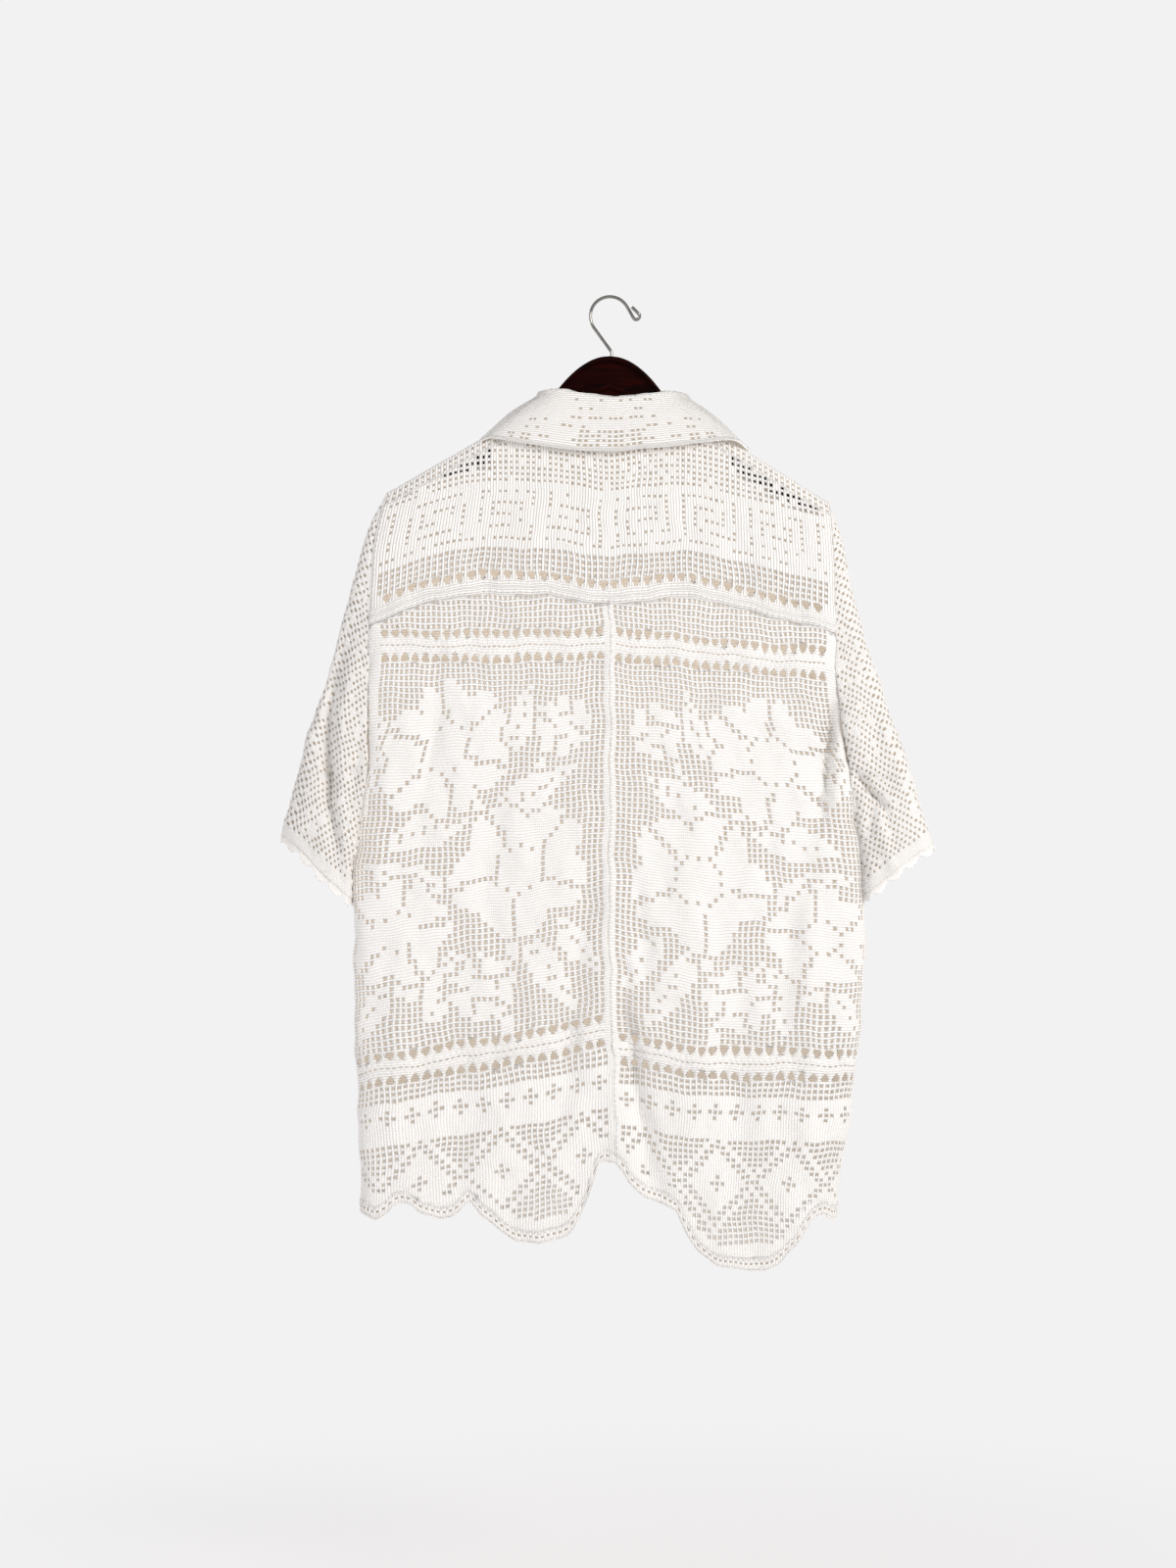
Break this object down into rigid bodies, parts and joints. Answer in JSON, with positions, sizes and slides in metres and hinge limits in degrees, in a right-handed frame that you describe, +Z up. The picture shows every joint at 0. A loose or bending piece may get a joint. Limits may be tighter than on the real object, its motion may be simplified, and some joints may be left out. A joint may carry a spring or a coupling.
{
  "type": "crochet top on a clothes hanger",
  "caption": "Short-sleeved open-work crochet shirt with a camp collar, banded insertions and a scalloped hem, hanging on a wooden clothes hanger with a wire hook.",
  "frame": {"origin": "where the inner side of the hook's round bears on its nail or rail", "axes": "+Z up; the back of the garment faces -Y and its front +Y; +X is towards the wearer's right"},
  "size_m": [0.6498, 0.0672, 0.9702],
  "materials": {
    "crochet": "matte ivory cotton crochet",
    "lacquer": "dark mahogany, glossy lacquer",
    "steel": "polished wire",
    "button": "pearly"
  },
  "bodies": {
    "root": {"hanger_wood": "lacquer", "hanger_hook": "steel", "collar": "crochet", "back_yoke": "crochet", "back_left": "crochet", "back_right": "crochet", "front_left": "crochet", "front_right": "crochet", "sleeve_left": "crochet", "sleeve_right": "crochet", "button_1": "button", "button_2": "button", "button_3": "button", "button_4": "button"}
  },
  "joints": []
}
